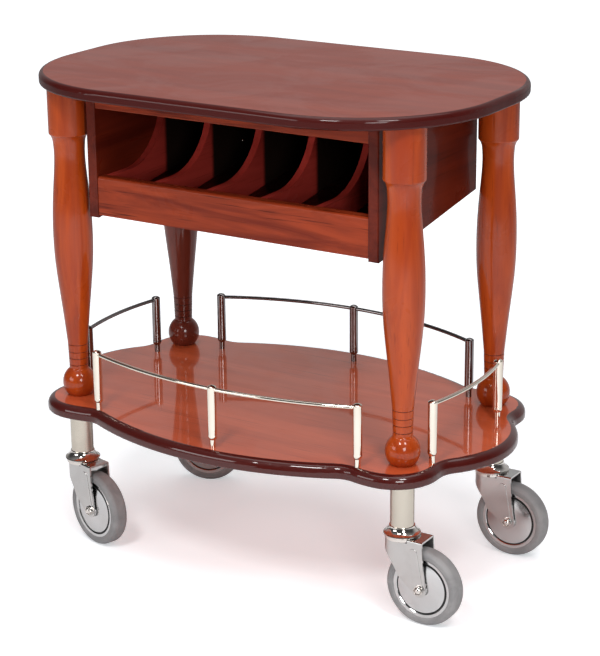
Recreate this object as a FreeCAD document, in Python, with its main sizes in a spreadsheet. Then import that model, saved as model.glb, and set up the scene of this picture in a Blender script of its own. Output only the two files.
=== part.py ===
"""Serving trolley: an oval table top with a bottle rack under it, four turned legs, a
lobed shelf with a rod gallery on each side, and four swivel casters.

Millimetres. The origin is on the floor under the middle of the trolley, X runs along its
length, -Y is the open front of the rack and Z is up.
"""
import FreeCAD, Part
import math
import os

os.makedirs("parts", exist_ok=True)
doc = FreeCAD.newDocument("Trolley")
V = FreeCAD.Vector

# ------------------------------------------------------------- driving dimensions
DIMENSIONS = {
    # table top
    "top_height": 820, "top_length": 800, "top_width": 536, "top_corner": 228,
    "top_thickness": 19, "top_edge_round": 8, "top_under_round": 3,
    # shelf: long and end bows, lobes at the corners, notches between them
    "shelf_height": 262, "shelf_thickness": 22.5, "shelf_length": 841, "shelf_width": 545,
    "side_bow": 530, "end_bow": 157, "lobe_x": 297, "lobe_y": 147, "lobe_radius": 74,
    "side_flank": 170, "end_flank": 400, "notch_radius": 42,
    "shelf_edge_round": 13, "shelf_under_round": 4,
    # turned legs
    "leg_x": 315, "leg_y": 155, "leg_head": 33, "tenon_radius": 12, "tenon_length": 12,
    # bottle rack
    "rack_half_width": 255.5, "panel_thickness": 18, "panel_front": 162, "panel_back": 160,
    "panel_foot": 580, "panel_rise": 46, "panel_round": 3, "rail_front": 159,
    "rail_thickness": 18, "head_rail_foot": 763, "low_rail_foot": 585, "low_rail_top": 650,
    "board_thickness": 12, "floor_lift": 6, "divider_pitch": 102.2, "divider_low": 648,
    "scoop_start": 88, "scoop_radius": 106,
    "screw_y": 110, "screw_z": 669, "screw_radius": 2, "screw_head": 4,
    # gallery rails
    "post_radius": 7.5, "post_height": 104.5, "rod_radius": 3.2, "rod_height": 97.5,
    "spigot_radius": 4, "neck_radius": 4.9, "neck_height": 13,
    "middle_post": -10,
    "back_crown": 226, "back_half": 251, "back_sag": 61, "back_shift": 13,
    "front_crown": 248, "front_half": 250, "front_sag": 45, "front_shift": 12,
    "right_crown": 367, "right_half": 112, "right_sag": 13, "right_shift": -19,
    "left_crown": 341, "left_half": 99, "left_sag": 11, "left_shift": -7,
    # casters
    "wheel_radius": 63.5, "trail": 41.7, "tread_half": 14.5, "rim_radius": 49.5,
    "tube_radius": 19.05, "tube_wall": 1.6, "tube_foot": 152, "tube_length": 87.5,
    "crown_top": 144, "seat_height": 138, "seat_radius": 28.5, "sheet": 3,
    "fork_half": 20.5, "fork_nose": -7, "fork_end": 46, "band": 0.9,
    "pin_radius": 8, "axle_radius": 5, "running_gap": 0.08, "fit_gap": 0.1,
}
# Side of the trolley in X and Y, and the caster's yaw about its kingpin in degrees.
CORNERS = {
    "front_left": (-1, -1, -16), "front_right": (1, -1, 0),
    "rear_left": (-1, 1, 20), "rear_right": (1, 1, 0),
}

sheet = doc.addObject("Spreadsheet::Sheet", "Sizes")
for row, (alias, size) in enumerate(DIMENSIONS.items(), start=1):
    sheet.set(f"A{row}", alias)
    sheet.set(f"B{row}", str(size))
    sheet.setAlias(f"B{row}", alias)
doc.recompute()


def dim(alias):
    """The size in the sheet's cell of that name."""
    return float(sheet.get(alias))


# ---------------------------------------------------------------- feature helpers
def new_body(label):
    body = doc.addObject("PartDesign::Body", label)
    body.Label = label
    return body


def plane(body, role):
    return next(item for item in body.Origin.OriginFeatures if item.Role == role)


def sketch(body, role, curves, offset=V()):
    """A sketch on one of the body's own planes, moved by offset in that plane's axes."""
    made = body.newObject("Sketcher::SketchObject", "Outline")
    made.AttachmentSupport = [(plane(body, role), "")]
    made.MapMode = "FlatFace"
    made.AttachmentOffset = FreeCAD.Placement(offset, FreeCAD.Rotation())
    for curve in curves:
        made.addGeometry(curve, False)
    return made


def loop(*steps):
    """A closed wire. A plain point ends a straight run; a pair (middle, end) an arc."""
    curves, here = [], V(*steps[0])
    for step in steps[1:] + steps[:1]:
        bent = isinstance(step[0], tuple)
        end = V(*step[1]) if bent else V(*step)
        if bent:
            curves.append(Part.Arc(here, V(*step[0]), end))
        elif here.distanceToPoint(end) > 1e-6:
            curves.append(Part.LineSegment(here, end))
        here = end
    return curves


def box(x0, x1, y0, y1):
    return loop((x0, y0), (x1, y0), (x1, y1), (x0, y1))


def circle(radius, x=0.0, y=0.0):
    return [Part.Circle(V(x, y), V(0, 0, 1), radius)]


def dome(radius, base, height):
    """The (middle, end) of a ball cap's half section, from its rim up to the axis."""
    ball = (radius ** 2 + height ** 2) / (2 * height)
    centre, direction = base + height - ball, 1 if height > 0 else -1
    half_way = math.asin(radius / abs(ball)) / 2
    return (abs(ball) * math.sin(half_way), centre + direction * abs(ball) * math.cos(half_way)), (0, base + height)


def set_size(feature, name, size):
    """A size given as text is an expression on the sheet."""
    if isinstance(size, str):
        feature.setExpression(name, size)
    else:
        setattr(feature, name, size)


def pad(body, outline, length, midplane=False, reverse=False):
    feature = body.newObject("PartDesign::Pad", "Pad")
    feature.Profile = outline
    feature.Midplane = midplane
    feature.Reversed = reverse
    set_size(feature, "Length", length)
    return feature


def cut(body, kind, outline, **settings):
    """A Pocket or a Groove, which has to remove material."""
    doc.recompute()
    before = body.Shape.Volume
    feature = body.newObject("PartDesign::" + kind, kind)
    feature.Profile = outline
    for name, value in settings.items():
        setattr(feature, name, value)
    doc.recompute()
    if not body.Shape.Volume < before - 0.5:
        raise RuntimeError(f"{kind} in {body.Label} removes nothing")
    return feature


def turn(body, outline, angle=360.0, midplane=False):
    """Revolve an outline about its own vertical axis."""
    feature = body.newObject("PartDesign::Revolution", "Turning")
    feature.Profile = outline
    feature.ReferenceAxis = (outline, ["V_Axis"])
    feature.Midplane = midplane
    feature.Angle = angle
    return feature


def round_edges(body, radius, wanted):
    doc.recompute()
    tip = body.Tip
    names = [f"Edge{i}" for i, edge in enumerate(tip.Shape.Edges, start=1) if wanted(edge.BoundBox)]
    if not names:
        raise RuntimeError(f"no edge to round on {body.Label}")
    feature = body.newObject("PartDesign::Fillet", "Rounding")
    feature.Base = (tip, names)
    set_size(feature, "Radius", radius)
    return feature


def level(z):
    """Edges that lie flat at one height."""
    return lambda bounds: abs(bounds.ZMin - z) < 1e-3 and abs(bounds.ZMax - z) < 1e-3


def place(body, x="0", y="0", z="0", angle=0.0):
    """Bind a sub-part's place to the sheet and turn it about its own Z."""
    body.Placement.Rotation = FreeCAD.Rotation(V(0, 0, 1), angle)
    for axis, expression in (("x", x), ("y", y), ("z", z)):
        body.setExpression(".Placement.Base." + axis, expression)


def signed(sign, expression):
    return f"{sign} * ({expression})"


# ---------------------------------------------------------------------- table top
def make_table_top():
    half_x, half_y, corner = dim("top_length") / 2, dim("top_width") / 2, dim("top_corner")
    x, y, d = half_x - corner, half_y - corner, corner * math.sqrt(0.5)
    outline = loop(
        (-x, -half_y), (x, -half_y), ((x + d, -y - d), (half_x, -y)),
        (half_x, y), ((x + d, y + d), (x, half_y)),
        (-x, half_y), ((-x - d, y + d), (-half_x, y)),
        (-half_x, -y), ((-x - d, -y - d), (-x, -half_y)))
    body = new_body("table_top")
    pad(body, sketch(body, "XY_Plane", outline), "Sizes.top_thickness")
    round_edges(body, "Sizes.top_edge_round", level(dim("top_thickness")))
    round_edges(body, "Sizes.top_under_round", level(0))
    bores = []
    for side_x, side_y, _ in CORNERS.values():
        bores += circle(dim("tenon_radius") + dim("fit_gap"), side_x * dim("leg_x"), side_y * dim("leg_y"))
    depth = dim("tenon_length") + 2 * dim("fit_gap")
    cut(body, "Pocket", sketch(body, "XY_Plane", bores), Length=depth, Reversed=True)
    place(body, z="Sizes.top_height - Sizes.top_thickness")


# -------------------------------------------------------------------------- shelf
def touching(centre_a, radius_a, centre_b, radius_b, radius):
    """Centre of the circle outside two circles that touches both, on the +Y side."""
    reach_a, reach_b = radius_a + radius, radius_b + radius
    line = centre_b - centre_a
    along = (reach_a ** 2 - reach_b ** 2 + line.Length ** 2) / (2 * line.Length)
    across = math.sqrt(reach_a ** 2 - along ** 2)
    unit = line / line.Length
    foot = centre_a + unit * along
    sides = [foot + V(-unit.y, unit.x) * across, foot - V(-unit.y, unit.x) * across]
    return max(sides, key=lambda point: point.y)


def towards(start, end, distance):
    return start + (end - start) / (end - start).Length * distance


def arc_about(centre, start, end):
    middle = towards(centre, (start + end) / 2, (start - centre).Length)
    return start, middle, end


def shelf_outline():
    """Bowed sides and ends that meet round lobes at small hollow notches, every arc
    running smoothly into the next."""
    notch, lobe = dim("notch_radius"), V(dim("lobe_x"), dim("lobe_y"))
    side = V(0, dim("shelf_width") / 2 - dim("side_bow"))
    end = V(dim("shelf_length") / 2 - dim("end_bow"), 0)
    crest = lobe + V(0, dim("lobe_radius"))
    flank = lobe + V(dim("lobe_radius"), 0)
    over, beside = crest - V(0, dim("side_flank")), flank - V(dim("end_flank"), 0)
    side_notch = touching(side, dim("side_bow"), over, dim("side_flank"), notch)
    end_notch = touching(end, dim("end_bow"), beside, dim("end_flank"), notch)
    leave_side = towards(side, side_notch, dim("side_bow"))
    meet_over = towards(over, side_notch, dim("side_flank"))
    meet_beside = towards(beside, end_notch, dim("end_flank"))
    leave_end = towards(end, end_notch, dim("end_bow"))
    corner = [
        arc_about(side_notch, leave_side, meet_over), arc_about(over, meet_over, crest),
        arc_about(lobe, crest, flank), arc_about(beside, flank, meet_beside),
        arc_about(end_notch, meet_beside, leave_end)]
    arcs = [[V(sx * p.x, sy * p.y) for p in arc] for sx in (1, -1) for sy in (1, -1) for arc in corner]
    for sign in (1, -1):
        tip = V(0, sign * dim("shelf_width") / 2)
        arcs.append([V(-leave_side.x, sign * leave_side.y), tip, V(leave_side.x, sign * leave_side.y)])
        tip = V(sign * dim("shelf_length") / 2, 0)
        arcs.append([V(sign * leave_end.x, -leave_end.y), tip, V(sign * leave_end.x, leave_end.y)])
    return [Part.Arc(*points) for points in arcs]


def make_shelf():
    body = new_body("shelf")
    pad(body, sketch(body, "XY_Plane", shelf_outline()), "Sizes.shelf_thickness", reverse=True)
    round_edges(body, "Sizes.shelf_edge_round", level(0))
    round_edges(body, "Sizes.shelf_under_round", level(-dim("shelf_thickness")))
    bores = []
    for side_x, side_y, _ in CORNERS.values():
        bores += circle(dim("tenon_radius") + dim("fit_gap"), side_x * dim("leg_x"), side_y * dim("leg_y"))
    for x, y in post_places():
        bores += circle(dim("spigot_radius") + dim("fit_gap"), x, y)
    depth = dim("tenon_length") + 2 * dim("fit_gap")
    cut(body, "Pocket", sketch(body, "XY_Plane", bores), Length=depth)
    place(body, z="Sizes.shelf_height")


# --------------------------------------------------------------------------- legs
# Height above the shelf and radius of the turned profile, foot to head.
LEG_BALL = [(0, 19), (21.5, 28), (44, 19)]
LEG_WAIST = [(50, 15.8), (94, 17.2)]
LEG_RINGS = [53.7, 65.5, 77, 90]
LEG_SWELL = [
    (94, 17.2), (119, 19.6), (148, 22.5), (176, 25.6), (204, 28.7), (232, 31.3), (260, 32.7),
    (293, 33), (328, 31.9), (358, 29.8), (388, 27.2), (410, 25.8), (426, 25.7), (438, 26.5)]
RING_DEPTH, RING_HALF = 1.0, 1.1
HEAD_COVE = [(446, 28), (452, 31)]
HEAD_ARRIS = [(453, 32.2), (455.5, 33)]


def waist_radius(height):
    (low, thin), (high, thick) = LEG_WAIST
    return thin + (thick - thin) * (height - low) / (high - low)


def leg_outline():
    """Half section: tenon, ball, ringed waist, vase swell, cove, round head, tenon."""
    tenon, spike = dim("tenon_radius"), dim("tenon_length")
    top = dim("top_height") - dim("top_thickness") - dim("shelf_height")
    at = lambda pair: (pair[1], pair[0])
    steps = [(0, -spike), (tenon, -spike), (tenon, 0), at(LEG_BALL[0]), (at(LEG_BALL[1]), at(LEG_BALL[2]))]
    steps += [((16.4, 46.5), at(LEG_WAIST[0]))]
    for ring in LEG_RINGS:
        for shift, depth in ((-RING_HALF, 0), (0, RING_DEPTH), (RING_HALF, 0)):
            steps.append((waist_radius(ring + shift) - depth, ring + shift))
    steps.append(at(LEG_WAIST[1]))
    swell = Part.BSplineCurve()
    swell.interpolate([V(*at(pair)) for pair in LEG_SWELL])
    upper = [at(LEG_SWELL[-1]), (at(HEAD_COVE[0]), at(HEAD_COVE[1])), (at(HEAD_ARRIS[0]), at(HEAD_ARRIS[1]))]
    upper += [(dim("leg_head"), top), (tenon, top), (tenon, top + spike), (0, top + spike), (0, -spike)]
    lower_curves, upper_curves = loop(*steps)[:-1], loop(*upper)[:-1]
    return lower_curves + [swell] + upper_curves


def make_leg(corner):
    side_x, side_y, _ = CORNERS[corner]
    body = new_body("leg_" + corner)
    turn(body, sketch(body, "XZ_Plane", leg_outline()))
    place(body, signed(side_x, "Sizes.leg_x"), signed(side_y, "Sizes.leg_y"), "Sizes.shelf_height")


# -------------------------------------------------------------------- bottle rack
def slope_height(y, lift=0.0):
    """Height of the slanted foot of the side panels at y, plus a lift."""
    run = dim("panel_front") + dim("panel_back")
    return dim("panel_foot") + dim("panel_rise") * (y + dim("panel_front")) / run + lift


def rack_top():
    return dim("top_height") - dim("top_thickness")


def floor_height(y):
    """Height of the upper face of the rack's floor at y."""
    return slope_height(y, dim("floor_lift") + dim("board_thickness"))


def make_side_panel(side, name):
    front, back = -dim("panel_front"), dim("panel_back")
    outline = loop((front, slope_height(front)), (back, slope_height(back)), (back, rack_top()), (front, rack_top()))
    body = new_body("rack_side_" + name)
    pad(body, sketch(body, "YZ_Plane", outline), "Sizes.panel_thickness", midplane=True)
    round_edges(body, "Sizes.panel_round", lambda b: b.YMax < front + 1e-3)
    place(body, signed(side, "Sizes.rack_half_width + Sizes.panel_thickness / 2"))


def make_rail(label, foot, head, rounded, radius):
    """A front rail between the side panels, with one arris of its front face rounded."""
    front = -dim("rail_front")
    outline = box(front, front + dim("rail_thickness"), 0, head - foot)
    body = new_body(label)
    pad(body, sketch(body, "YZ_Plane", outline), "2 * Sizes.rack_half_width", midplane=True)
    height = head - foot if rounded == "upper" else 0
    round_edges(body, radius, lambda b: b.YMax < front + 1e-3 and level(height)(b))
    place(body, z=str(foot))


def make_rack_boards():
    inner_front = dim("rail_thickness") - dim("rail_front")
    inner_back = dim("panel_back") - dim("board_thickness")
    lift = dim("floor_lift")
    floor = loop((inner_front, slope_height(inner_front, lift)), (inner_back, slope_height(inner_back, lift)),
                 (inner_back, floor_height(inner_back)), (inner_front, floor_height(inner_front)))
    body = new_body("rack_floor")
    pad(body, sketch(body, "YZ_Plane", floor), "2 * Sizes.rack_half_width", midplane=True)
    back = loop((inner_back, slope_height(inner_back, lift)), (dim("panel_back"), slope_height(dim("panel_back"), lift)),
                (dim("panel_back"), rack_top()), (inner_back, rack_top()))
    body = new_body("rack_back")
    pad(body, sketch(body, "YZ_Plane", back), "2 * Sizes.rack_half_width", midplane=True)


def make_divider(label, x):
    """Low at the front, scooped up in a hollow quarter round to a full-height back."""
    front = dim("rail_thickness") - dim("rail_front")
    back = dim("panel_back") - dim("board_thickness")
    scoop, low, start = dim("scoop_radius"), dim("divider_low"), -dim("scoop_start")
    d = scoop * math.sqrt(0.5)
    outline = loop(
        (front, floor_height(front)), (back, floor_height(back)), (back, rack_top()),
        (start + scoop, rack_top()), (start + scoop, low + scoop),
        ((start + d, low + scoop - d), (start, low)), (front, low))
    body = new_body(label)
    pad(body, sketch(body, "YZ_Plane", outline), "Sizes.board_thickness", midplane=True)
    place(body, x)
    return body


def make_screw(x, side):
    """A dome-headed screw in the side of one divider."""
    reach, head = dim("board_thickness") * 0.7, dim("screw_head")
    shank = dim("screw_radius")
    outline = loop((0, -reach), (shank, -reach), (shank, 0), (head, 0), dome(head, 0, 2.5))
    body = new_body("rack_screw")
    turn(body, sketch(body, "XZ_Plane", outline))
    body.Placement.Rotation = FreeCAD.Rotation(V(0, 1, 0), 90 * side)
    for axis, expression in (("x", x), ("y", "Sizes.screw_y"), ("z", "Sizes.screw_z")):
        body.setExpression(".Placement.Base." + axis, expression)


def make_rack():
    for side, name in ((-1, "left"), (1, "right")):
        make_side_panel(side, name)
        make_divider("bottle_rest_" + name, signed(side, "Sizes.rack_half_width - Sizes.board_thickness / 2"))
    make_rail("rack_top_rail", dim("head_rail_foot"), rack_top(), "lower", 2)
    make_rail("rack_bottom_rail", dim("low_rail_foot"), dim("low_rail_top"), "upper", 5)
    make_rack_boards()
    for number, pitch in enumerate((-1.5, -0.5, 0.5, 1.5), start=1):
        divider = make_divider(f"bottle_divider_{number}", f"{pitch} * Sizes.divider_pitch")
        if number == 1:
            bore = sketch(divider, "YZ_Plane", circle(dim("screw_radius") + dim("fit_gap"), dim("screw_y"), dim("screw_z")),
                          V(0, 0, dim("board_thickness") / 2))
            cut(divider, "Pocket", bore, Length=dim("board_thickness") * 0.75)
    make_screw("-1.5 * Sizes.divider_pitch + Sizes.board_thickness / 2", 1)


# ------------------------------------------------------------------ shelf gallery
# The way each rail faces, in degrees, and its number of posts.
RAILS = {"back": (0, 3), "front": (180, 3), "right": (-90, 2), "left": (90, 2)}


def bow_radius(name):
    half, sag = dim(name + "_half"), dim(name + "_sag")
    return (half ** 2 + sag ** 2) / (2 * sag)


def local_posts(name):
    """Post places from the bow's centre, with the bow's crown on +Y."""
    half, radius = dim(name + "_half"), bow_radius(name)
    across = [-half, half] + [dim("middle_post")] * (RAILS[name][1] - 2)
    return [(x, math.sqrt(radius ** 2 - x ** 2)) for x in across]


def post_places():
    places = []
    for name, (angle, _) in RAILS.items():
        spin = FreeCAD.Rotation(V(0, 0, 1), angle)
        along = V(1, 0, 0) if angle in (0, 180) else V(0, 1, 0)
        for x, y in local_posts(name):
            point = spin.multVec(V(x, y + dim(name + "_crown") - bow_radius(name)))
            point += along * dim(name + "_shift")
            places.append((point.x, point.y))
    return places


def post_outline():
    """Half section of a post: spigot, thin neck, rounded shoulder, shaft and low dome cap."""
    spigot, neck, radius = dim("spigot_radius"), dim("neck_radius"), dim("post_radius")
    spike, height, rise = dim("tenon_length"), dim("post_height"), dim("neck_height")
    return loop((0, -spike), (spigot, -spike), (spigot, 0), (neck, 0), (neck, rise),
                ((radius - 0.6, rise + 2.6), (radius, rise + 8)), (radius, height - 3.4),
                dome(radius, height - 3.4, 3.4))


def bend_angle(name, overrun=0.0):
    return 2 * math.degrees(math.asin((dim(name + "_half") + overrun) / bow_radius(name)))


def place_rail(body, name, z):
    angle, _ = RAILS[name]
    half, sag, shift = (f"Sizes.{name}_{word}" for word in ("half", "sag", "shift"))
    offset = f"Sizes.{name}_crown - ({half} * {half} + {sag} * {sag}) / (2 * {sag})"
    x = {-90: offset, 90: signed(-1, offset)}.get(angle, shift)
    y = {0: offset, 180: signed(-1, offset)}.get(angle, shift)
    place(body, x, y, z, angle)


def make_rail_rod(name):
    body = new_body("rail_rod_" + name)
    section = circle(dim("rod_radius"), bow_radius(name), 0)
    turn(body, sketch(body, "YZ_Plane", section), bend_angle(name, 3), True)
    place_rail(body, name, "Sizes.shelf_height + Sizes.rod_height")


def make_rail_posts(name):
    body = new_body("rail_posts_" + name)
    body.AllowCompound = True
    for x, y in local_posts(name):
        turn(body, sketch(body, "XZ_Plane", post_outline(), V(x, 0, -y)))
    section = circle(dim("rod_radius") + 0.05, bow_radius(name), dim("rod_height"))
    bore = sketch(body, "YZ_Plane", section)
    cut(body, "Groove", bore, ReferenceAxis=(bore, ["V_Axis"]), Midplane=True,
        Angle=bend_angle(name, 3.2))
    place_rail(body, name, "Sizes.shelf_height")


# ------------------------------------------------------------------------ casters
def stand(body, corner, z="0"):
    """Place a piece that turns with the fork about the kingpin at one corner."""
    side_x, side_y, yaw = CORNERS[corner]
    place(body, signed(side_x, "Sizes.leg_x"), signed(side_y, "Sizes.leg_y"), z, yaw)


def hang(body, corner):
    """Place a piece built about its own axle, which trails behind the kingpin."""
    side_x, side_y, yaw = CORNERS[corner]
    x = f"{side_x} * Sizes.leg_x + Sizes.trail * cos({yaw})"
    y = f"{side_y} * Sizes.leg_y + Sizes.trail * sin({yaw})"
    place(body, x, y, "Sizes.wheel_radius", yaw)


def make_tube(corner):
    radius, wall, length = dim("tube_radius"), dim("tube_wall"), dim("tube_length")
    outline = loop((0, length), (radius, length), (radius, 0), (radius - wall, 0), (radius - wall, length - 5),
                   (0, length - 5))
    body = new_body("caster_tube_" + corner)
    turn(body, sketch(body, "XZ_Plane", outline))
    stand(body, corner, "Sizes.tube_foot")


def make_collar(corner):
    """A flared ring round the foot of the tube, with a sharp brim and a stepped skirt."""
    inner, skirt = dim("tube_radius") + 0.05, 24.3
    outline = loop((inner, -2), (skirt, -2), (skirt, -13.2), (26.6, -13.2), (27.4, -12.2), (27.4, -8.4),
                   (28.8, -7.4), (30, -5), (29.3, -3.9), ((23.6, 0.4), (20.5, 7.5)), (inner, 7.5))
    body = new_body("caster_collar_" + corner)
    turn(body, sketch(body, "XZ_Plane", outline))
    stand(body, corner, "Sizes.tube_foot")


def make_kingpin(corner):
    """A plug in the tube, a bearing flange, the pin, and its head under the crown."""
    seat, flange = dim("seat_height"), dim("tube_foot") - 2.3
    under = seat - dim("sheet") - 0.3
    plug, pin = dim("tube_radius") - dim("tube_wall") - dim("fit_gap"), dim("pin_radius")
    outline = loop((0, 190), (plug, 190), (plug, flange), (24, flange), (24, seat + 0.3), (pin, seat + 0.3),
                   (pin, under), (13, under), ((11, under - 3.5), (6, under - 4.6)), (0, under - 4.6))
    body = new_body("caster_kingpin_" + corner)
    turn(body, sketch(body, "XZ_Plane", outline))
    stand(body, corner)


def crown_outline(radius, nose, end):
    """A D seen from above: a round nose and two straight sides."""
    return loop((nose, -radius), (end, -radius), (end, radius), (nose, radius), ((nose - radius, 0), (nose, -radius)))


def leg_silhouette(foot, far):
    """What is cut away round the side view of the fork."""
    axle_x, axle_z, end, top = dim("trail"), dim("wheel_radius"), dim("fork_end"), dim("crown_top")
    return loop(
        (-40, foot - 5), (-40, 121), (-27, 121), ((-17.5, 112.5), (-7, 100)), (-0.5, 89), (3.5, 80.5),
        (31.2, axle_z - 7), ((axle_x, axle_z - 12.6), (axle_x + 12.2, axle_z - 3)), (end + 2.5, 100),
        (end, top - 6), (end, top + 5), (far + 5, top + 5), (far + 5, foot - 5))


def raised_band(body, sign):
    """A shallow pressed band down one leg, rounded about the axle at its foot."""
    axle_x, axle_z, half, height = dim("trail"), dim("wheel_radius"), dim("fork_half"), dim("band")
    outline = loop((24.5, 126), ((31, 131.5), (37.5, 126)), (48.6, axle_z + 4),
                   ((axle_x, axle_z - 9.5), (axle_x - 9, axle_z - 1)))
    pad(body, sketch(body, "XZ_Plane", outline, V(0, 0, sign * half)), height, reverse=sign < 0)
    face = -sign * (half + height)
    round_edges(body, 0.6, lambda b: abs(b.YMin - face) < 1e-3 and abs(b.YMax - face) < 1e-3)


def make_fork(corner):
    """A pressed fork: round-nosed crown with a sunk bearing seat, and two legs."""
    top, half, sheet_mm, seat = dim("crown_top"), dim("fork_half"), dim("sheet"), dim("seat_height")
    axle_x, axle_z, far, nose = dim("trail"), dim("wheel_radius"), dim("trail") + 20, dim("fork_nose")
    body = new_body("caster_fork_" + corner)
    foot, wall = axle_z - 14, 2.5
    pad(body, sketch(body, "XY_Plane", crown_outline(half, nose, far), V(0, 0, foot)), top - foot)
    cut(body, "Pocket", sketch(body, "XZ_Plane", leg_silhouette(foot, far)), Type="ThroughAll", Midplane=True)
    round_edges(body, 3.0, lambda b: level(top)(b) and b.XMin < dim("fork_end") - 1)
    cut(body, "Pocket", sketch(body, "XY_Plane", circle(dim("seat_radius")), V(0, 0, top)), Length=top - seat)
    under_seat = sketch(body, "XY_Plane", crown_outline(half - sheet_mm, nose, far + 5), V(0, 0, seat - sheet_mm))
    cut(body, "Pocket", under_seat, Type="ThroughAll")
    under_end = box(dim("seat_radius") + wall, far + 5, sheet_mm - half, half - sheet_mm)
    cut(body, "Pocket", sketch(body, "XY_Plane", under_end, V(0, 0, top - sheet_mm)), Length=2 * sheet_mm)
    for sign in (-1, 1):
        raised_band(body, sign)
    pin = sketch(body, "XY_Plane", circle(dim("pin_radius") + dim("running_gap")), V(0, 0, top))
    cut(body, "Pocket", pin, Length=top - seat + 2 * sheet_mm)
    axle = sketch(body, "XZ_Plane", circle(dim("axle_radius") + 0.05, axle_x, axle_z))
    cut(body, "Pocket", axle, Type="ThroughAll", Midplane=True)
    stand(body, corner)


def make_axle(corner):
    """A bolt through fork and hub: domed nut towards the front, low head behind."""
    half, radius = dim("fork_half") + dim("band"), dim("axle_radius")
    outline = loop(
        (0, half + 2.2), (6.4, half + 2.2), (7.4, half + 1.2), (7.4, half), (radius, half), (radius, -half),
        (7.6, -half), (7.6, -half - 1.2), (5.9, -half - 1.6), (5.5, -half - 3.2), dome(5.5, -half - 3.2, -2.8))
    body = new_body("caster_axle_" + corner)
    turn(body, sketch(body, "XY_Plane", outline))
    hang(body, corner)


def make_guards(corner):
    """A dished thread guard each side of the wheel, between hub and fork."""
    bore, inner, edge = dim("axle_radius") + 0.05, dim("fork_half") - dim("sheet"), 41.4
    outlines = []
    for sign in (-1, 1):
        outlines += loop(
            (bore, sign * 13.6), (bore, sign * inner), (9.5, sign * inner), (11.5, sign * 15.2),
            ((29, sign * 14.6), (edge, sign * 12.3)), (edge, sign * 11.4),
            ((29, sign * 13.5), (13.5, sign * 13.6)))
    body = new_body("caster_guards_" + corner)
    body.AllowCompound = True
    turn(body, sketch(body, "XY_Plane", outlines))
    hang(body, corner)


def make_hub(corner):
    """A wheel centre: boss on the axle, web, and the rim that carries the tyre."""
    bore, rim = dim("axle_radius") + dim("running_gap"), dim("rim_radius")
    half = [(bore, 13.2), (12, 13.2), (12, 5), (44.2, 5), (44.2, 11.4), (45.2, 12.3), (rim, 12.9)]
    steps = half + [(x, -y) for x, y in reversed(half)]
    body = new_body("wheel_hub_" + corner)
    turn(body, sketch(body, "XY_Plane", loop(*steps)))
    hang(body, corner)


def make_tyre(corner):
    """A solid tyre with well rounded shoulders."""
    rim, tread, half = dim("rim_radius"), dim("wheel_radius"), dim("tread_half")
    outline = loop(
        (rim, -half + 1.4), (rim + 3, -half), (tread - 6, -half), ((tread - 1.6, -half + 3.4), (tread, -half + 8)),
        (tread, half - 8), ((tread - 1.6, half - 3.4), (tread - 6, half)), (rim + 3, half), (rim, half - 1.4))
    body = new_body("wheel_tyre_" + corner)
    turn(body, sketch(body, "XY_Plane", outline))
    hang(body, corner)


# ------------------------------------------------------------------------- export
def export_all():
    for item in doc.Objects:
        if {"Invalid", "Error"} & set(item.State):
            raise RuntimeError(f"{item.Label} failed: {item.State}")
    bodies = [item for item in doc.Objects if item.TypeId == "PartDesign::Body"]
    for body in bodies:
        shape = body.Shape
        if shape.isNull() or not shape.isValid() or shape.Volume <= 0:
            raise RuntimeError(f"{body.Label} has no valid shape")
        shape.exportStep(f"parts/{body.Label}.step")
        bounds = shape.optimalBoundingBox(False)
        print(f"{body.Label:26s} {len(shape.Solids)} solid {shape.Volume / 1000:9.2f} cm3"
              f"  x {bounds.XMin:.1f}..{bounds.XMax:.1f}  y {bounds.YMin:.1f}..{bounds.YMax:.1f}"
              f"  z {bounds.ZMin:.1f}..{bounds.ZMax:.1f}")


def build():
    make_table_top()
    make_shelf()
    make_rack()
    for rail in RAILS:
        make_rail_rod(rail)
        make_rail_posts(rail)
    for corner in CORNERS:
        make_leg(corner)
        for maker in (make_tube, make_collar, make_kingpin, make_fork, make_axle, make_guards, make_hub, make_tyre):
            maker(corner)
    doc.recompute()
    export_all()


build()
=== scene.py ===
"""The serving trolley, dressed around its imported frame: varnished timber, plated gallery
rails, bright casters with grey rubber tyres, and a pale studio to stand in."""

import logging
import math
from dataclasses import dataclass, field
from enum import Enum

import bpy
from mathutils import Matrix, Vector


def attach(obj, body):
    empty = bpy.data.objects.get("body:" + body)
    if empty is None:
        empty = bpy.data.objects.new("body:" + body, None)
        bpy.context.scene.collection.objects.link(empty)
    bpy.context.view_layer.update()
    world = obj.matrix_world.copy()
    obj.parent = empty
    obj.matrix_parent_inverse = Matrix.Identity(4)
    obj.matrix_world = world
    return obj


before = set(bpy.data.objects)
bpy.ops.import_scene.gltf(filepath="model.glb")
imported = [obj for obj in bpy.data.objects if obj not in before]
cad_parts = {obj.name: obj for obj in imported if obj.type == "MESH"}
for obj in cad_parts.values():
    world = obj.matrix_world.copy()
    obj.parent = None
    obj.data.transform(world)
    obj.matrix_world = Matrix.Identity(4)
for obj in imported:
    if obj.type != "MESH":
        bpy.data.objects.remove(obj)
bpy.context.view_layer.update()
LOG = logging.getLogger("trolley")
Triple = tuple[float, float, float]
Colour = tuple[float, float, float]
Span = tuple[float, float]
Output = bpy.types.NodeSocket

# Metres. Each leg and its caster tube stand at this distance from the middle.
LEG_X, LEG_Y = 0.315, 0.155
# Upper face of the shelf, where the legs stand.
SHELF_TOP = 0.262
# Points closer than this are one point.
MERGE = 1e-6
# Faces that meet at less than this angle, in degrees, are shaded as one curve.
SMOOTH_BELOW = 35.0
WHOLE_SPAN = (0.0, 1.0)
WHITE = (1.0, 1.0, 1.0, 1.0)


class Grain(Enum):
    """The way the fibres of a piece of timber run, as a turn that lays them along X."""

    ALONG_X = (0.0, 0.0, 0.0)
    ALONG_Y = (0.0, 0.0, math.pi / 2)
    UPRIGHT = (0.0, math.pi / 2, 0.0)


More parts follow.
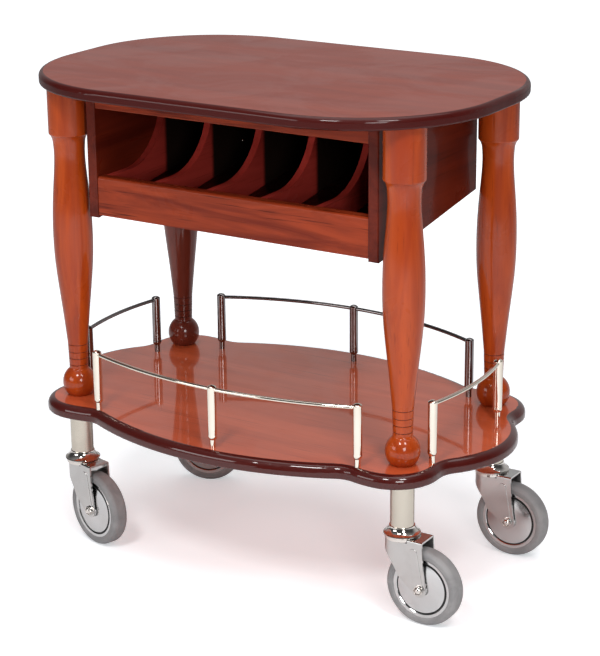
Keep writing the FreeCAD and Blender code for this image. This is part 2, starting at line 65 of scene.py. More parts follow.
@dataclass(frozen=True)
class Stance:
    """Which corner a leg and its caster stand at, and how the caster is turned."""

    side_x: int
    side_y: int
    yaw: float

    def at_height(self, height: float) -> Matrix:
        """A place on the leg's axis."""
        return Matrix.Translation((self.side_x * LEG_X, self.side_y * LEG_Y, height))


STANCES = {
    "front_left": Stance(-1, -1, yaw=-16.0),
    "front_right": Stance(1, -1, yaw=0.0),
    "rear_left": Stance(-1, 1, yaw=20.0),
    "rear_right": Stance(1, 1, yaw=0.0),
}


# --------------------------------------------------------------------- node helpers
@dataclass(frozen=True)
class Cloud:
    """The character of a cloudy noise."""

    scale: float
    detail: float
    rough: float = 0.55
    bend: float = 0.0


@dataclass(frozen=True)
class Relief:
    """How strongly a pattern stands up from the surface, and how high in metres."""

    strength: float
    rise: float


class Graph:
    """A small hand for laying out shader nodes in a tree."""

    def __init__(self, tree: bpy.types.NodeTree) -> None:
        """Keep the tree that the nodes go into."""
        self.tree = tree

    def add(self, kind: str, values: dict | None = None, **settings: object) -> bpy.types.Node:
        """Add a node.

        Args:
            kind: the node's type name, without its ShaderNode prefix.
            values: input sockets, by name or number, and what each takes: a number, a
                colour or another node's output.
            settings: the node's own properties.

        Returns:
            The new node.
        """
        node = self.tree.nodes.new("ShaderNode" + kind)
        for name, value in settings.items():
            setattr(node, name, value)
        for key, value in (values or {}).items():
            self.feed(value, node.inputs[key])
        return node

    def feed(self, value: object, socket: Output) -> None:
        """Link an output to a socket, or set the socket to a plain value.

        Args:
            value: an output, a number, a vector or a colour with its alpha.
            socket: the input that takes it.
        """
        if isinstance(value, bpy.types.NodeSocket):
            self.tree.links.new(value, socket)
        else:
            socket.default_value = value

    def math(self, operation: str, first: Output | float, second: Output | float = 0.0) -> Output:
        """One step of arithmetic between two numbers or outputs."""
        return self.add("Math", {0: first, 1: second}, operation=operation).outputs[0]

    def blend(self, factor: Output, low: Output | Colour, high: Output | Colour) -> Output:
        """Mix two colours.

        Args:
            factor: how much of the second colour to take.
            low: the colour, or an output, at a factor of 0.
            high: the colour, or an output, at a factor of 1.

        Returns:
            The mixed colour.
        """
        node = self.add("Mix", {0: factor}, data_type="RGBA")
        for number, value in ((6, low), (7, high)):
            self.feed((*value, 1.0) if isinstance(value, tuple) else value, node.inputs[number])
        return node.outputs[2]

    def ramp(self, value: Output, source: Span, target: Span = WHOLE_SPAN) -> Output:
        """Map a value smoothly from one span onto another.

        Args:
            value: the output to map.
            source: the span that it comes in.
            target: the span that it goes out in.

        Returns:
            The mapped value.
        """
        inputs = {"Value": value, "From Min": source[0], "From Max": source[1]}
        inputs |= {"To Min": target[0], "To Max": target[1]}
        return self.add("MapRange", inputs, interpolation_type="SMOOTHSTEP").outputs[0]

    def noise(self, vector: Output, cloud: Cloud) -> Output:
        """Cloudy noise read at a vector."""
        inputs = {"Vector": vector, "Scale": cloud.scale, "Detail": cloud.detail}
        inputs |= {"Roughness": cloud.rough, "Distortion": cloud.bend}
        return self.add("TexNoise", inputs).outputs[0]

    def stretch(self, vector: Output, by: Triple) -> Output:
        """Multiply a vector axis by axis."""
        return self.add("VectorMath", {0: vector, 1: by}, operation="MULTIPLY").outputs[0]

    def enlarge(self, vector: Output, by: Output) -> Output:
        """Multiply a vector by a number."""
        return self.add("VectorMath", {0: vector, "Scale": by}, operation="SCALE").outputs[0]

    def part(self, vector: Output, axis: str) -> Output:
        """One axis of a vector."""
        return self.add("SeparateXYZ", {0: vector}).outputs[axis]

    def bump(self, height: Output, relief: Relief) -> Output:
        """The normal of a surface with a pattern standing up from it."""
        inputs = {"Strength": relief.strength, "Distance": relief.rise, "Height": height}
        return self.add("Bump", inputs).outputs[0]


# -------------------------------------------------------------------- shared effects
class EffectGroup:
    """A shader node group while it is being laid out."""

    def __init__(self, name: str, takes: dict[str, float], gives: tuple[str, ...]) -> None:
        """Start the group.

        Args:
            name: the group's name.
            takes: its number inputs and their defaults. A Vector input comes first.
            gives: its number outputs.
        """
        self.tree = bpy.data.node_groups.new(name, "ShaderNodeTree")
        sockets = self.tree.interface
        sockets.new_socket(name="Vector", in_out="INPUT", socket_type="NodeSocketVector")
        for label, value in takes.items():
            socket = sockets.new_socket(name=label, in_out="INPUT", socket_type="NodeSocketFloat")
            socket.default_value = value
        for label in gives:
            sockets.new_socket(name=label, in_out="OUTPUT", socket_type="NodeSocketFloat")
        self.graph = Graph(self.tree)
        self.takes = self.tree.nodes.new("NodeGroupInput").outputs
        self.end = self.tree.nodes.new("NodeGroupOutput")

    def give(self, name: str, value: Output) -> None:
        """Put a value out under its name."""
        self.tree.links.new(value, self.end.inputs[name])


@dataclass(frozen=True)
class TimberFigure:
    """Long-grain figure of a turned or sawn hardwood, fibres along X."""

    band_stretch: Triple = (1.6, 17.0, 17.0)
    band_cloud: Cloud = Cloud(1.0, 4.0, 0.6, 0.9)
    band_span: Span = (0.28, 0.72)
    band_relief: float = 0.35
    pore_stretch: Triple = (9.0, 330.0, 330.0)
    pore_cloud: Cloud = Cloud(1.0, 2.0, 0.5)
    pore_span: Span = (0.60, 0.74)

    def build(self) -> bpy.types.NodeTree:
        """Lay the group out.

        Returns:
            A group that puts out Figure (slow light and dark bands), Pores (fine dark
            dashes) and Height for a bump.
        """
        group = EffectGroup("timber_figure", {"Bands": 1.0}, ("Figure", "Pores", "Height"))
        graph, vector = group.graph, group.takes["Vector"]
        wide = graph.enlarge(graph.stretch(vector, self.band_stretch), group.takes["Bands"])
        bands = graph.noise(wide, self.band_cloud)
        dashes = graph.noise(graph.stretch(vector, self.pore_stretch), self.pore_cloud)
        pores = graph.ramp(dashes, self.pore_span)
        raised = graph.math("MULTIPLY", bands, self.band_relief)
        group.give("Figure", graph.ramp(bands, self.band_span))
        group.give("Pores", pores)
        group.give("Height", graph.math("SUBTRACT", raised, pores))
        return group.tree


@dataclass(frozen=True)
class Handling:
    """Faint smears and wiped streaks of a surface in daily use."""

    smear_cloud: Cloud = Cloud(7.0, 4.0, 0.55, 0.6)
    smear_span: Span = (0.35, 0.7)
    wipe_stretch: Triple = (30.0, 60.0, 160.0)
    wipe_cloud: Cloud = Cloud(1.0, 2.0)
    wipe_span: Span = (0.45, 0.75)

    def build(self) -> bpy.types.NodeTree:
        """Lay the group out.

        Returns:
            A group that puts out Smear, a soft mask, and Wipe, fine scratches.
        """
        group = EffectGroup("handling", {"Size": 1.0}, ("Smear", "Wipe"))
        graph = group.graph
        sized = graph.enlarge(group.takes["Vector"], group.takes["Size"])
        scratches = graph.noise(graph.stretch(sized, self.wipe_stretch), self.wipe_cloud)
        smears = graph.noise(sized, self.smear_cloud)
        group.give("Smear", graph.ramp(smears, self.smear_span))
        group.give("Wipe", graph.ramp(scratches, self.wipe_span))
        return group.tree


class SharedEffects:
    """The node groups that more than one finish uses."""

    def __init__(self) -> None:
        """Build each group once."""
        self.figure = TimberFigure().build()
        self.handling = Handling().build()


# ------------------------------------------------------------------------- finishes
class Coating:
    """A new material, with its shader, its object coordinates and its wear."""

    def __init__(self, name: str) -> None:
        """Start the material.

        Args:
            name: the material's name.
        """
        self.material = bpy.data.materials.new(name)
        self.material.use_nodes = True
        self.graph = Graph(self.material.node_tree)
        self.shader = self.material.node_tree.nodes["Principled BSDF"]
        self.place = self.graph.add("TexCoord").outputs["Object"]

    def group(self, tree: bpy.types.NodeTree, vector: Output, **inputs: float) -> bpy.types.Node:
        """Add a shared effect.

        Args:
            tree: the effect's node group.
            vector: the vector that it is read at.
            inputs: the group's own numbers, by name.

        Returns:
            The group's node.
        """
        node = self.graph.add("Group", node_tree=tree)
        self.graph.feed(vector, node.inputs["Vector"])
        for name, value in inputs.items():
            self.graph.feed(value, node.inputs[name])
        return node

    def set(self, values: dict[str, object]) -> None:
        """Link or set inputs of the shader, by name."""
        for name, value in values.items():
            self.graph.feed(value, self.shader.inputs[name])


@dataclass(frozen=True)
class VarnishedTimber:
    """Stained hardwood under gloss varnish."""

    name: str
    light: Colour
    dark: Colour
    grain: Grain = Grain.ALONG_X
    bands: float = 1.0
    roughness: float = 0.32
    roughness_spread: Span = (0.85, 1.25)
    coat_roughness: float = 0.06
    coat_ior: float = 1.5
    under_gloss: float = 0.2
    varnish: float = 0.7
    pore_depth: float = 0.35
    pore_shade: float = 0.35
    relief: Relief = Relief(0.06, 0.0004)
    # A darker colour on all that leans more than a flat face does, the moulded edge among it.
    edge: Colour | None = None
    flat_span: Span = (0.99, 0.999)
    # Painted shadow on what stands behind the rack's lit front, and the span in Y over which it sets in.
    painted_shadow: Colour | None = None
    painted_shadow_span: Span = (0.010, 0.022)

    def stain(self, coating: Coating, figure: bpy.types.Node) -> Output:
        """Colour the timber.

        Args:
            coating: the material in hand.
            figure: the node of the timber's figure.

        Returns:
            The colour, with its bands and pores and, where they are named, the darker colour of leaning faces
            and the painted shadow at the back of the rack.
        """
        graph = coating.graph
        stain = graph.blend(figure.outputs["Figure"], self.dark, self.light)
        pores = graph.math("MULTIPLY", figure.outputs["Pores"], self.pore_depth)
        stain = graph.blend(pores, stain, tuple(part * self.pore_shade for part in self.dark))
        if self.edge is not None:
            upward = graph.part(graph.add("TexCoord").outputs["Normal"], "Z")
            flat = graph.ramp(graph.math("ABSOLUTE", upward), self.flat_span)
            stain = graph.blend(flat, self.edge, stain)
        # Painted shadow: all that stands behind a line in Y goes dark, as the inside of the rack lies in
        # shade.
        if self.painted_shadow is not None:
            depth = graph.ramp(graph.part(coating.place, "Y"), self.painted_shadow_span)
            stain = graph.blend(depth, stain, self.painted_shadow)
        return stain

    def material(self, effects: SharedEffects, centre: Vector) -> bpy.types.Material:
        """Make the finish.

        Args:
            effects: the shared node groups.
            centre: the point of the piece that its figure is centred on.

        Returns:
            The material.
        """
        coating = Coating(self.name)
        graph, place = coating.graph, coating.place
        turn = {"Vector": place, "Location": centre, "Rotation": self.grain.value}
        laid = graph.add("Mapping", turn).outputs[0]
        figure = coating.group(effects.figure, laid, Bands=self.bands)
        worn = coating.group(effects.handling, place)
        low, high = (self.roughness * part for part in self.roughness_spread)
        coating.set({
            "Base Color": self.stain(coating, figure),
            "Roughness": graph.ramp(worn.outputs["Smear"], WHOLE_SPAN, (low, high)),
            "Normal": graph.bump(figure.outputs["Height"], self.relief),
            "Specular IOR Level": self.under_gloss,
            "Coat Weight": self.varnish,
            "Coat Roughness": self.coat_roughness,
            "Coat IOR": self.coat_ior,
        })
        return coating.material


@dataclass(frozen=True)
class BrightMetal:
    """Plated, polished or brushed metal."""

    name: str
    colour: Colour
    tarnish: Colour
    roughness: float
    roughness_spread: Span = (0.8, 1.2)
    wear_size: float = 2.0

    def material(self, effects: SharedEffects) -> bpy.types.Material:
        """Make the finish.

        Args:
            effects: the shared node groups.

        Returns:
            The material.
        """
        coating = Coating(self.name)
        graph = coating.graph
        worn = coating.group(effects.handling, coating.place, Size=self.wear_size)
        low, high = (self.roughness * part for part in self.roughness_spread)
        coating.set({
            "Base Color": graph.blend(worn.outputs["Smear"], self.colour, self.tarnish),
            "Roughness": graph.ramp(worn.outputs["Wipe"], WHOLE_SPAN, (low, high)),
            "Metallic": 1.0,
        })
        return coating.material


@dataclass(frozen=True)
class GreyRubber:
    """Non-marking grey rubber, a little paler where it is scuffed."""

    name: str
    colour: Colour
    scuffed: Colour
    wear_size: float = 4.0
    speckle_cloud: Cloud = Cloud(900.0, 2.0)
    speckle_span: Span = (0.4, 0.7)
    speckle_share: float = 0.25
    roughness: Span = (0.5, 0.68)
    relief: Relief = Relief(0.15, 0.0003)

    def material(self, effects: SharedEffects) -> bpy.types.Material:
        """Make the finish.

        Args:
            effects: the shared node groups.

        Returns:
            The material.
        """
        coating = Coating(self.name)
        graph, place = coating.graph, coating.place
        worn = coating.group(effects.handling, place, Size=self.wear_size)
        speckle = graph.ramp(graph.noise(place, self.speckle_cloud), self.speckle_span)
        tone = graph.blend(worn.outputs["Smear"], self.colour, self.scuffed)
        paler = graph.math("MULTIPLY", speckle, self.speckle_share)
        coating.set({
            "Base Color": graph.blend(paler, tone, self.scuffed),
            "Roughness": graph.ramp(worn.outputs["Smear"], WHOLE_SPAN, self.roughness),
            "Normal": graph.bump(speckle, self.relief),
        })
        return coating.material


TOP_TIMBER = VarnishedTimber(
    "top_varnish", light=(0.220, 0.029, 0.010), dark=(0.170, 0.020, 0.007),
    edge=(0.050, 0.0045, 0.0035), roughness=0.45, coat_roughness=0.07, under_gloss=0.06, varnish=0.42)
SHELF_TIMBER = VarnishedTimber(
    "shelf_varnish", light=(0.60, 0.105, 0.036), dark=(0.48, 0.076, 0.025),
    edge=(0.060, 0.0050, 0.0035), roughness=0.35, coat_roughness=0.04, under_gloss=0.1, varnish=0.85)
LEG_TIMBER = VarnishedTimber(
    "leg_varnish", light=(0.44, 0.064, 0.007), dark=(0.28, 0.031, 0.004),
    grain=Grain.UPRIGHT, bands=1.6, coat_roughness=0.04, under_gloss=0.1, varnish=0.6)
# A darker copy of the leg finish: painted shade for the rear left leg, which stands in shadow.
SHADED_REAR_LEG_TIMBER = VarnishedTimber(
    "rear_leg_painted_shade", light=(0.20, 0.034, 0.018), dark=(0.12, 0.020, 0.011),
    grain=Grain.UPRIGHT, bands=1.5, coat_roughness=0.04, under_gloss=0.1, varnish=0.6)
RACK_TIMBER = VarnishedTimber(
    "rack_varnish", light=(0.31, 0.043, 0.012), dark=(0.14, 0.015, 0.005),
    bands=2.4, coat_roughness=0.08, pore_depth=0.8, under_gloss=0.04, varnish=0.28)
# Near black on the rack's back and floor: painted shade of the inside of the rack.
PAINTED_SHADE_INNER_TIMBER = VarnishedTimber(
    "inner_painted_shade", light=(0.030, 0.005, 0.003), dark=(0.015, 0.003, 0.002),
    bands=1.3, coat_roughness=0.3, under_gloss=0.05, varnish=0.1)
PANEL_TIMBER = VarnishedTimber(
    "panel_varnish", light=(0.14, 0.016, 0.006), dark=(0.07, 0.007, 0.003),
    grain=Grain.ALONG_Y, coat_roughness=0.08, under_gloss=0.04, varnish=0.28)
# The dividers' finish, with painted shadow on all that lies behind their lit front.
DIVIDER_TIMBER = VarnishedTimber(
    "divider_varnish_painted_shadow", light=(0.46, 0.046, 0.034), dark=(0.32, 0.030, 0.022),
    painted_shadow=(0.014, 0.007, 0.005), grain=Grain.ALONG_Y, coat_roughness=0.3, under_gloss=0.02, varnish=0.0)
# Dark rings in the legs' grooves: painted shade of the grooves.
PAINTED_GROOVE_SHADE_TIMBER = VarnishedTimber(
    "painted_groove_shade_line", light=(0.085, 0.014, 0.006), dark=(0.055, 0.008, 0.004),
    coat_roughness=0.2, varnish=0.3)
RAIL_METAL = BrightMetal("rail_plating", (0.88, 0.81, 0.71), (0.82, 0.75, 0.65), roughness=0.06)
# A darker copy of the rail plating: painted shade for the back and left rods and posts.
SHADED_FAR_RAIL_METAL = BrightMetal("far_rail_painted_shade", (0.27, 0.25, 0.25), (0.22, 0.20, 0.20), roughness=0.06)
TUBE_METAL = BrightMetal("tube_satin", (0.62, 0.57, 0.49), (0.55, 0.50, 0.43), roughness=0.20)
CASTER_METAL = BrightMetal("caster_plating", (0.80, 0.76, 0.72), (0.70, 0.66, 0.62), roughness=0.08)
FORK_METAL = BrightMetal("fork_zinc", (0.60, 0.59, 0.58), (0.52, 0.51, 0.50), roughness=0.16)
HUB_METAL = BrightMetal("hub_zinc", (0.66, 0.66, 0.66), (0.58, 0.58, 0.58), roughness=0.18)
TYRE_RUBBER = GreyRubber("tyre_rubber", (0.21, 0.205, 0.208), (0.29, 0.28, 0.28))
# Near black: painted shade of the gap between each wheel's hub and its guard.
PAINTED_GAP_SHADE_RUBBER = GreyRubber("painted_gap_shade_rubber", (0.006, 0.006, 0.006), (0.012, 0.012, 0.012))


# --------------------------------------------------------------------- dressing CAD
def dress(node: str, material: bpy.types.Material) -> None:
    """Put a finish on every material slot of a CAD node.

    Args:
        node: the node's name.
        material: the finish.
    """
    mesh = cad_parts[node].data
    if not mesh.materials:
        mesh.materials.append(material)
    for index in range(len(mesh.materials)):
        mesh.materials[index] = material
    LOG.info("dressed %s in %s", node, material.name)


# ---------------------------------------------------------------------- turned rings
@dataclass(frozen=True)
class Ring:
    """A ring about the Y axis, turned from a rounded oblong section."""

    name: str
    radius: float
    width: float
    height: float
    rounding: float
    steps: int = 96
    corner_steps: int = 3

    def model(self) -> bpy.types.Object:
        """Model the ring at the origin.

        Returns:
            The master that placed copies are taken from.
        """
        bpy.ops.object.select_all(action="DESELECT")
        bpy.ops.mesh.primitive_plane_add(size=1.0, location=(0.0, 0.0, 0.0))
        ring = bpy.context.active_object
        ring.name = self.name
        bpy.ops.object.mode_set(mode="EDIT")
        bpy.ops.mesh.select_all(action="SELECT")
        bpy.ops.transform.resize(value=(self.width, self.height, 1.0))
        bpy.ops.transform.translate(value=(self.radius, 0.0, 0.0))
        bpy.ops.mesh.bevel(offset=self.rounding, segments=self.corner_steps, affect="VERTICES")
        bpy.ops.mesh.select_all(action="SELECT")
        bpy.ops.mesh.delete(type="ONLY_FACE")
        bpy.ops.mesh.select_all(action="SELECT")
        bpy.ops.mesh.spin(steps=self.steps, angle=2 * math.pi, center=(0.0, 0.0, 0.0), axis=(0.0, 1.0, 0.0))
        bpy.ops.mesh.select_all(action="SELECT")
        bpy.ops.mesh.remove_doubles(threshold=MERGE)
        bpy.ops.mesh.normals_make_consistent(inside=False)
        bpy.ops.object.mode_set(mode="OBJECT")
        bpy.ops.object.shade_smooth_by_angle(angle=math.radians(SMOOTH_BELOW))
        return ring


@dataclass(frozen=True)
class Setting:
    """Where one copy of a master goes and what carries it."""

    suffix: str
    matrix: Matrix
    body: str


def set_copies(ring: Ring, material: bpy.types.Material, settings: list[Setting]) -> None:
    """Place copies of a ring, each with its own mesh.

    Args:
        ring: the ring to model once.
        material: the finish.
        settings: one entry for each copy.
    """
    master = ring.model()
    for setting in settings:
        piece = master.copy()
        piece.data = master.data.copy()
        piece.name = f"{ring.name}_{setting.suffix}"
        piece.data.transform(setting.matrix)
        piece.data.materials.clear()
        piece.data.materials.append(material)
        bpy.context.scene.collection.objects.link(piece)
        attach(piece, setting.body)
    bpy.data.objects.remove(master)
    LOG.info("placed %d of %s", len(settings), ring.name)


# ---------------------------------------------------------------------- the trolley
@dataclass
class Slabs:
    """The oval top and the lobed shelf."""

    effects: SharedEffects
    top_centre: Triple = (0.0, 0.0, 0.0)
    shelf_centre: Triple = (0.3, 0.2, 0.0)

    def build(self) -> None:
        """Dress both slabs."""
        dress("table_top", TOP_TIMBER.material(self.effects, Vector(self.top_centre)))
        dress("shelf", SHELF_TIMBER.material(self.effects, Vector(self.shelf_centre)))


@dataclass
class TurnedLegs:
    """The four vase-turned legs and the dark rings of painted shade in the grooves round their waists."""

    effects: SharedEffects
    # Height of each line above the shelf, and the leg's radius there.
    lines: tuple[Span, ...] = ((0.0537, 0.01592), (0.0655, 0.01629), (0.077, 0.01666), (0.090, 0.01707))
    line_sink: float = 0.00078
    line_width: float = 0.0006
    line_height: float = 0.0009
    line_rounding: float = 0.00015
    # How far the figure of each leg is moved on from the last one's, and its height.
    figure_step: Span = (0.13, 0.31)
    figure_height: float = 0.2

    def score(self) -> None:
        """Lay a dark ring in the bottom of each turned groove, as painted shade."""
        painted_groove_shade = PAINTED_GROOVE_SHADE_TIMBER.material(self.effects, Vector())
        upright = Matrix.Rotation(math.pi / 2, 4, "X")
        for number, (height, radius) in enumerate(self.lines, start=1):
            settings = [Setting(corner, stance.at_height(SHELF_TOP + height) @ upright, "frame")
                        for corner, stance in STANCES.items()]
            ring = Ring(f"leg_line_{number}", radius - self.line_sink, self.line_width,
                        self.line_height, self.line_rounding)
            set_copies(ring, painted_groove_shade, settings)

    def build(self) -> None:
        """Dress each leg with its own stretch of figure, the rear left one darker as painted shade."""
        along, across = self.figure_step
        for number, corner in enumerate(STANCES):
            # Painted shade: the rear left leg takes the darker copy of the leg finish.
            timber = SHADED_REAR_LEG_TIMBER if corner == "rear_left" else LEG_TIMBER
            centre = Vector((along * number, across * number, self.figure_height))
            dress("leg_" + corner, timber.material(self.effects, centre))
        self.score()


@dataclass
class BottleRack:
    """Side panels, rails, boards and scooped dividers."""

    effects: SharedEffects
    rail_centre: Triple = (0.0, 0.0, 0.1)
    board_centre: Triple = (0.1, 0.0, 0.1)
    dividers: int = 4

    def build(self) -> None:
        """Dress every board."""
        rail = RACK_TIMBER.material(self.effects, Vector(self.rail_centre))
        panel = PANEL_TIMBER.material(self.effects, Vector())
        divider = DIVIDER_TIMBER.material(self.effects, Vector())
        # The back and floor take the painted shade of the inside of the rack.
        inner = PAINTED_SHADE_INNER_TIMBER.material(self.effects, Vector(self.board_centre))
        for node in ("rack_top_rail", "rack_bottom_rail"):
            dress(node, rail)
        for node in ("rack_back", "rack_floor"):
            dress(node, inner)
        for side in ("left", "right"):
            dress("rack_side_" + side, panel)
            dress("bottle_rest_" + side, divider)
        for number in range(1, self.dividers + 1):
            dress(f"bottle_divider_{number}", divider)
        dress("rack_screw", CASTER_METAL.material(self.effects))


@dataclass
class Gallery:
    """Bowed rods on posts round the shelf."""

    effects: SharedEffects

    def build(self) -> None:
        """Dress rods and posts, the back and left ones darker as painted shade."""
        # The far plating is darker as painted shade, not as another metal.
        near, far = RAIL_METAL.material(self.effects), SHADED_FAR_RAIL_METAL.material(self.effects)
        for side, metal in (("front", near), ("right", near), ("back", far), ("left", far)):
            dress("rail_posts_" + side, metal)
            dress("rail_rod_" + side, metal)


@dataclass
class Casters:
    """Four swivel casters, with dark rings of painted shade in the gaps of their wheels, the
    mould lines of the wheels, and the nut and the bolt's socket at the ends of each axle."""

    effects: SharedEffects
    axle_height: float = 0.0635
    trail: float = 0.0417
    # A black ring sunk in the gap beside the hub: painted shade of that gap.
    painted_gap_shade: Ring = Ring("wheel_painted_gap_shade", radius=0.0420, width=0.0041, height=0.0020, rounding=0.0004)
    painted_gap_shade_offset: float = 0.0097
    bead: Ring = Ring("tyre_bead", radius=0.0550, width=0.0011, height=0.0006, rounding=0.0002)
    bead_offset: float = 0.01455
    nut: Ring = Ring("axle_nut", radius=0.00755, width=0.0013, height=0.0026, rounding=0.0003, steps=6)
    nut_offset: float = -0.0240
    socket: Ring = Ring("bolt_socket", radius=0.0036, width=0.0022, height=0.0008, rounding=0.00025, steps=48)
    socket_offset: float = 0.0240

    def on_axles(self, offsets: dict[str, float], body: str) -> list[Setting]:
        """Settings on every caster's axle.

        Args:
            offsets: distance along the axle for each copy, by its word in the name.
            body: the start of the carrying body's name.

        Returns:
            The settings.
        """
        settings = []
        for corner, stance in STANCES.items():
            turned = stance.at_height(0.0) @ Matrix.Rotation(math.radians(stance.yaw), 4, "Z")
            for word, offset in offsets.items():
                matrix = turned @ Matrix.Translation((self.trail, offset, self.axle_height))
                settings.append(Setting(word + corner, matrix, body + corner))
        return settings

    def on_wheels(self, offset: float) -> list[Setting]:
        """Settings on both sides of every wheel, at a distance along its axle."""
        return self.on_axles({"near_": -offset, "far_": offset}, "wheel_")

    def fit_rings(self, plated: bpy.types.Material, rubber: bpy.types.Material) -> None:
        """Fit painted gap shade and mould lines to the wheels, nuts and sockets to the axles.

        Args:
            plated: the finish of the nuts and the sockets.
            rubber: the finish of the tyres.
        """
        painted_gap_shade = PAINTED_GAP_SHADE_RUBBER.material(self.effects)
        set_copies(self.painted_gap_shade, painted_gap_shade, self.on_wheels(self.painted_gap_shade_offset))
        set_copies(self.bead, rubber, self.on_wheels(self.bead_offset))
        set_copies(self.nut, plated, self.on_axles({"": self.nut_offset}, "fork_"))
        set_copies(self.socket, plated, self.on_axles({"": self.socket_offset}, "fork_"))

    def build(self) -> None:
        """Dress every caster piece."""
        plated = CASTER_METAL.material(self.effects)
        tube = TUBE_METAL.material(self.effects)
        fork = FORK_METAL.material(self.effects)
        hub = HUB_METAL.material(self.effects)
        rubber = TYRE_RUBBER.material(self.effects)
        for corner in STANCES:
            dress("caster_tube_" + corner, tube)
            for part in ("caster_collar_", "caster_kingpin_", "caster_axle_"):
                dress(part + corner, plated)
            dress("caster_fork_" + corner, fork)
            dress("caster_guards_" + corner, hub)
            dress("wheel_hub_" + corner, hub)
            dress("wheel_tyre_" + corner, rubber)
        self.fit_rings(plated, rubber)


# --------------------------------------------------------------------------- studio
@dataclass(frozen=True)
class Softbox:
    """A rectangular studio light aimed at a point."""

    name: str
    place: Triple
    aim: Triple
    size: Span
    power: float

    def build(self) -> None:
        """Hang the light."""
        light = bpy.data.lights.new(self.name, "AREA")
        light.shape = "RECTANGLE"
        light.size, light.size_y = self.size
        light.energy = self.power
        lamp = bpy.data.objects.new(self.name, light)
        lamp.location = self.place
        lamp.rotation_euler = (Vector(self.aim) - Vector(self.place)).to_track_quat("-Z", "Y").to_euler()
        bpy.context.scene.collection.objects.link(lamp)


LIGHTS = (
    Softbox("overhead", place=(0.0, 0.2, 3.6), aim=(0.0, 0.0, 0.3), size=(3.4, 3.0), power=60.0),
    Softbox("low_right", place=(2.26, -2.37, 1.42), aim=(0.0, 0.0, 0.5), size=(0.9, 0.9), power=34.0),
    Softbox("front_fill", place=(-1.6, -3.0, 1.20), aim=(-0.2, 0.0, 0.35), size=(1.6, 0.9), power=20.0),
    Softbox("front_left", place=(0.31, -2.20, 2.70), aim=(0.0, 0.0, 0.4), size=(0.6, 0.6), power=34.0),
    Softbox("front_right", place=(1.84, -1.24, 2.70), aim=(0.0, 0.0, 0.4), size=(0.6, 0.6), power=26.0),
)


@dataclass
class Viewpoint:
    """The camera, in front and to the right of the trolley."""

    azimuth: float = 32.05
    elevation: float = 18.20
    roll: float = -0.53
    distance: float = 3.44818
    aim: Triple = (0.0, 0.0, 0.4)
    pan: Span = (0.02735, -0.01245)
    lens: float = 123.82
    sensor: float = 36.0

    def build(self) -> None:
        """Stand the camera in its place."""
        turn, tilt, lean = (math.radians(angle) for angle in (self.azimuth, self.elevation, self.roll))
        back = Vector((math.sin(turn) * math.cos(tilt), -math.cos(turn) * math.cos(tilt), math.sin(tilt)))
        level = Vector((math.cos(turn), math.sin(turn), 0.0))
        upright = back.cross(level)
        right = level * math.cos(lean) + upright * math.sin(lean)
        above = back.cross(right)
        place = Vector(self.aim) + back * self.distance + right * self.pan[0] + above * self.pan[1]
        data = bpy.data.cameras.new("camera")
        data.sensor_fit, data.sensor_width, data.lens = "HORIZONTAL", self.sensor, self.lens
        camera = bpy.data.objects.new("camera", data)
        camera.matrix_world = Matrix.Translation(place) @ Matrix((right, above, back)).transposed().to_4x4()
        bpy.context.scene.collection.objects.link(camera)
        bpy.context.scene.camera = camera


@dataclass
class Surroundings:
    """White to the eye; for what reflects, a dark room with a lit backdrop and ceiling."""

    backdrop_azimuth: float = 12.05
    backdrop_span: Span = (0.2, 0.95)
    backdrop_glow: Span = (0.06, 0.50)
    ceiling_span: Span = (0.45, 1.0)
    ceiling_glow: Span = (0.0, 0.20)
    seen_glow: float = 1.05

    def build(self) -> None:
        """Put the surroundings in the world."""
        world = bpy.data.worlds.new("studio")
        bpy.context.scene.world = world
        world.use_nodes = True
        graph = Graph(world.node_tree)
        way = graph.add("TexCoord").outputs["Generated"]
        turn = math.radians(self.backdrop_azimuth)
        backdrop = (-math.sin(turn), math.cos(turn), 0.0)
        facing = graph.add("VectorMath", {0: way, 1: backdrop}, operation="DOT_PRODUCT").outputs["Value"]
        behind = graph.ramp(facing, self.backdrop_span, self.backdrop_glow)
        overhead = graph.ramp(graph.part(way, "Z"), self.ceiling_span, self.ceiling_glow)
        glow = graph.math("ADD", behind, overhead)
        seen = graph.math("MULTIPLY", graph.add("LightPath").outputs["Is Camera Ray"], self.seen_glow)
        background = world.node_tree.nodes["Background"]
        graph.feed(graph.math("MAXIMUM", seen, glow), background.inputs["Strength"])
        graph.feed(WHITE, background.inputs["Color"])


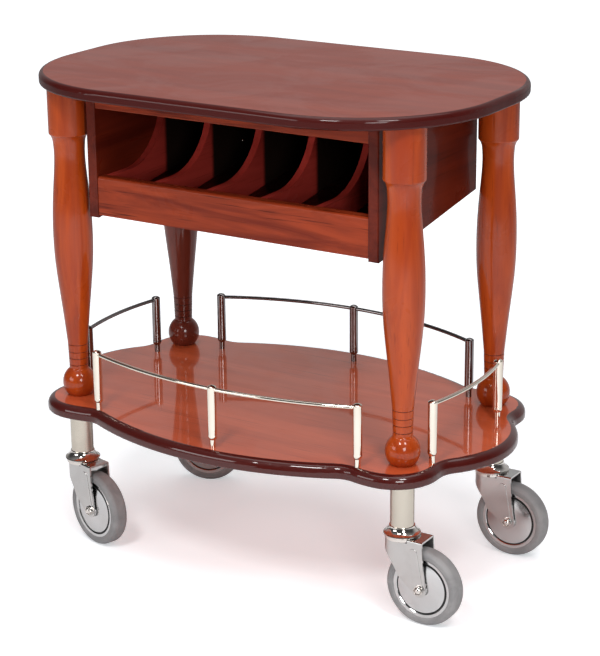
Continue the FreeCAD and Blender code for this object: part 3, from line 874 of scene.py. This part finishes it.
@dataclass
class Floor:
    """Pale paper under the wheels, which fades into the white round it."""

    radius: float = 9.0
    sides: int = 96
    paper_cloud: Cloud = Cloud(0.8, 2.0)
    paper_span: Span = (0.2, 0.8)
    paper_tone: Span = (0.86, 0.9)
    blue_tint: float = 0.012
    roughness: float = 0.9
    glow: tuple[float, float, float, float] = (0.93, 0.97, 1.0, 1.0)
    glow_span: Span = (0.7, 2.6)
    glow_strength: Span = (0.42, 0.9)

    def build(self) -> None:
        """Lay the floor."""
        bpy.ops.object.select_all(action="DESELECT")
        bpy.ops.mesh.primitive_circle_add(vertices=self.sides, radius=self.radius, fill_type="NGON",
                                          location=(0.0, 0.0, 0.0))
        floor = bpy.context.active_object
        floor.name = "floor"
        floor.data.materials.append(self.paper())

    def paper(self) -> bpy.types.Material:
        """Make the floor's finish.

        Returns:
            The material. It glows for the camera alone, so it sheds no light on the trolley.
        """
        coating = Coating("floor_paper")
        graph, place = coating.graph, coating.place
        tone = graph.ramp(graph.noise(place, self.paper_cloud), self.paper_span, self.paper_tone)
        tint = graph.add("CombineColor", {0: tone, 1: tone, 2: graph.math("ADD", tone, self.blue_tint)})
        away = graph.add("VectorMath", {0: place}, operation="LENGTH").outputs["Value"]
        seen = graph.add("LightPath").outputs["Is Camera Ray"]
        lift = graph.ramp(away, self.glow_span, self.glow_strength)
        coating.set({
            "Base Color": tint.outputs[0],
            "Roughness": self.roughness,
            "Specular IOR Level": 0.0,
            "Emission Color": self.glow,
            "Emission Strength": graph.math("MULTIPLY", seen, lift),
        })
        return coating.material


@dataclass
class Studio:
    """Floor, surroundings, lights and camera."""

    camera: Viewpoint = field(default_factory=Viewpoint)
    surroundings: Surroundings = field(default_factory=Surroundings)
    floor: Floor = field(default_factory=Floor)
    lights: tuple[Softbox, ...] = LIGHTS

    def build(self) -> None:
        """Set the whole stage."""
        bpy.context.scene.view_settings.view_transform = "Standard"
        for part in (self.camera, self.surroundings, self.floor, *self.lights):
            part.build()
            LOG.info("set %s", type(part).__name__)


def main() -> None:
    """Build and dress the trolley, then the studio round it."""
    logging.basicConfig(level=logging.INFO, format="%(name)s: %(message)s")
    effects = SharedEffects()
    for assembly in (Slabs, TurnedLegs, BottleRack, Gallery, Casters):
        assembly(effects).build()
        LOG.info("built %s", assembly.__name__)
    Studio().build()


if __name__ == "__main__":
    main()
